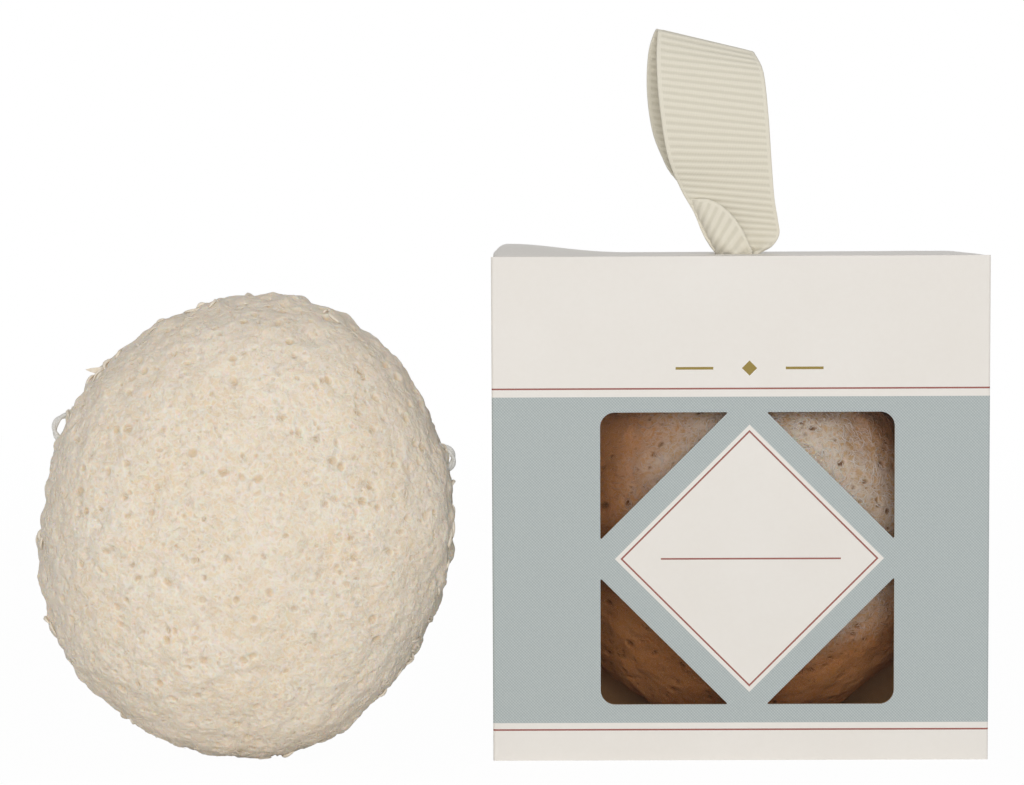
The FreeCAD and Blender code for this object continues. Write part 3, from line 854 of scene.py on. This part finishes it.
def knot_body():
    """Neck and knot as one turned form: the radius by height, with slanting folds round it."""
    t = np.linspace(0.0, 1.0, 80)[:, None]
    angle = np.linspace(0.0, 2.0 * np.pi, 96, endpoint=False)[None, :]
    height = knot_high + 0.1 - t * (knot_high - knot_low - 2.2)
    ball = np.clip((t - neck_share) / (1.0 - neck_share), 0.0, 1.0)
    neck = neck_radius * np.clip(t / 0.02, 0.0, 1.0)
    swelled = neck_radius * (1.0 - ball) + knot_swell * np.sin(np.pi * ball) ** 0.6
    radius = np.where(t < neck_share, neck, swelled)
    radius = radius * np.sqrt(np.clip((1.0 - t) / 0.12, 0.0, 1.0))
    fold = 0.16 * np.abs(np.sin(3.5 * angle + 2.2 * t * np.pi)) - 0.10
    radius = radius * (1.0 + fold)
    x, y = hole_x + radius * np.cos(angle), 0.95 * radius * np.sin(angle)
    return np.stack(np.broadcast_arrays(x, y, height), axis=-1)


def knot_end(side):
    """One cut end: a strip that leaves the knot, spreads and droops, with waves across it."""
    t = np.linspace(0.0, 1.0, 40)[:, None]
    w = np.linspace(-1.0, 1.0, 24)[None, :]
    reach = 2.0 + (knot_side - 2.4) * t
    half = 1.8 + 2.4 * t
    y = w * half
    z = knot_low + 3.2 - 2.2 * t**1.5 + 0.5 * np.cos(w * 4.0 + side) * (0.4 + 0.6 * t)
    middle = np.stack(np.broadcast_arrays(hole_x + side * reach, y, z), axis=-1)
    thick = np.full(middle.shape[:2], 0.45) + 0.15 * np.abs(np.sin(t * 7.0 * np.pi))
    thick[[0, -1]] = 0.0
    up = np.broadcast_to(np.array([0.0, 0.0, 1.0]), middle.shape)
    return walls(middle, thick, up)


knot = surface("ribbon_tie", [knot_body(), knot_end(-1.0), knot_end(1.0)], around=True)
knot.data.materials.append(ribbon_cream)
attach(knot, "ribbon_neck")
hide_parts("ribbon_knot")

# ---- Loose sponge --------------------------------------------------------------------------
# A second sponge of the same make, stood on its lower edge beside the carton with its dome to
# the front. Its skin is cottony: fine strands lie all over the dome, and coarser torn ones curl
# up round the rim.
loose_skew, loose_seed = (0.0, 0.0), 100
loose_rim, high = oval(0.0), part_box("loose_sponge")[1]
loose_middle = np.array([
    1000.0 * high.x - loose_rim[0].max(), 1000.0 * high.y - foam_back,
    -loose_rim[1].min() - foam_foot])
points, pore = foam(236, loose_seed, loose_skew)
points = points + loose_middle
points[..., 2] = np.maximum(points[..., 2], 0.0)
loose = surface("loose_foam", list(points), {"pore": pore})
# Its rim's tone, a little greyer than the skin, is painted shade towards the rim; its pits' tone is
# painted shade too.
loose_foam = foam_finish(
    "konjac_foam", pale=tint(241, 226, 204), warm=tint(236, 217, 189),
    rim=tint(227, 214, 197), rim_shade_share=0.8, rim_shade_from=-37.0, rim_shade_to=-17.0,
    pit=tint(228, 207, 174), pit_shade_share=0.65, net_share=0.5)
loose.data.materials.append(loose_foam)
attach(loose, "loose")
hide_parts("loose_sponge")


def flake(angle, length, half):
    """A pointed flake of skin that stands out level to the left from the rim at that angle."""
    t = np.linspace(0.0, 1.0, 24)[:, None]
    w = np.linspace(-1.0, 1.0, 10)[None, :]
    angle = np.radians(angle)
    foot = (foam_reach(angle) - 1.0) * np.array([np.cos(angle), np.sin(angle)])
    x = foot[0] - length * t + 0.0 * w
    z = foot[1] + half * w * (1.0 - t) ** 0.7 + 0.3 * t
    middle = np.stack([x, -1.6 + 0.4 * t + 0.0 * w, z], axis=-1)
    thick = np.full(middle.shape[:2], 0.3)
    thick[[0, -1]] = 0.0
    return walls(middle, thick, np.broadcast_to(np.array([0.0, -1.0, 0.0]), middle.shape))


curls = fibres(
    70, loose_seed, loose_skew, band=(-0.02, 0.2), lengths=(1.8, 4.2), heights=(0.1, 0.5),
    radii=(0.2, 0.4))
cotton = fibres(
    3400, loose_seed, loose_skew, band=(0.2, 1.0), lengths=(1.0, 2.6), heights=(0.05, 0.2),
    radii=(0.05, 0.09))
torn = [*curls, *cotton, flake(131.0, 3.4, 0.8)]
torn = [np.maximum(grid, (-1e3, -1e3, 0.05)) for grid in placed(torn, 0.0, loose_middle)]
strands = surface("loose_strands", torn, around=True)
strands.data.materials.append(strand_finish(
    "torn_skin", dull=tint(236, 223, 202), pale=tint(246, 237, 222), rim=tint(232, 221, 205),
    rim_shade_share=0.8))
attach(strands, "loose")

loose_twine = surface("loose_twine", placed(twine(), 0.0, loose_middle), around=True)
loose_twine.data.materials.append(cotton_twine)
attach(loose_twine, "loose")
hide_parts("loose_sponge_string")

# ---- Studio --------------------------------------------------------------------------------
# White table that fades into a white room, one large soft lamp behind the camera and a little
# above it, and even fill from all round.


def seen(root):
    """1 on a ray from the camera, a mirror or clear film, 0 on light between the pieces."""
    kinds = ("Camera", "Glossy", "Transmission")
    camera, glossy, clear = (root.node("LightPath", out=f"Is {kind} Ray") for kind in kinds)
    return camera | glossy | clear


table_glow, fill_light = 0.98, 0.45
floor_mesh = bpy.data.meshes.new("table")
reach = 6.0
corners = [(-reach, -reach, 0), (reach, -reach, 0), (reach, reach, 0), (-reach, reach, 0)]
floor_mesh.from_pydata(corners, [], [(0, 1, 2, 3)])
floor = bpy.data.objects.new("table", floor_mesh)
bpy.context.scene.collection.objects.link(floor)
material, root, place, x, y, z = finish("white_table")
square = x * x + y * y
far = square.maths("SQRT", square).rise(150.0, 700.0)
share = seen(root) * (far * (1.0 - table_glow) + table_glow)
plain = root.node("BsdfDiffuse", (), {"Color": tint(243, 242, 240)})
glow = root.node("Emission", (), {"Color": (1.0, 1.0, 1.0, 1.0), "Strength": 1.0})
blend = root.node("MixShader", (), {0: share, 1: plain, 2: glow})
root.fill(root.tree.nodes["Material Output"], "Surface", blend)
floor_mesh.materials.append(material)

world = bpy.data.worlds.new("white_room")
bpy.context.scene.world = world
world.use_nodes = True
root = Shade(world.node_tree)
background = world.node_tree.nodes["Background"]
root.fill(background, "Color", (1.0, 1.0, 1.0, 1.0))
root.fill(background, "Strength", seen(root) * (1.0 - fill_light) + fill_light)


def lamp(name, place, aim, size, power):
    """A square soft lamp at a place in mm that shines at another."""
    light = bpy.data.lights.new(name, "AREA")
    light.size = size / 1000.0
    light.energy = power
    made = bpy.data.objects.new(name, light)
    made.location = np.array(place) / 1000.0
    down = np.array(place, float) - np.array(aim, float)
    down = down / np.linalg.norm(down)
    side = np.cross((0.0, 0.0, 1.0), down)
    side = side / np.linalg.norm(side)
    turn = np.stack([side, np.cross(down, side), down], axis=1)
    made.rotation_euler = Matrix(turn.tolist()).to_euler()
    bpy.context.scene.collection.objects.link(made)


lamp("key_lamp", (-20, -1530, 160), (-40, 0, 40), 900, 15.8)

camera_place = np.array([-33.7, -491.0, 91.5])
yaw, pitch, roll = np.radians([0.48, 3.7, -0.26])
forward = np.array([-np.sin(yaw) * np.cos(pitch), np.cos(yaw) * np.cos(pitch), -np.sin(pitch)])
level = np.array([np.cos(yaw), np.sin(yaw), 0.0])
upright = np.cross(level, forward)
right = np.cos(roll) * level + np.sin(roll) * upright
upright = np.cross(right, forward)
camera = bpy.data.cameras.new("camera")
camera.lens, camera.sensor_width = 100.2, 36.0
camera.clip_start, camera.clip_end = 0.01, 50.0
viewer = bpy.data.objects.new("camera", camera)
viewer.location = camera_place / 1000.0
viewer.rotation_euler = Matrix(np.stack([right, upright, -forward], axis=1).tolist()).to_euler()
bpy.context.scene.collection.objects.link(viewer)
bpy.context.scene.camera = viewer
bpy.context.scene.view_settings.view_transform = "Standard"
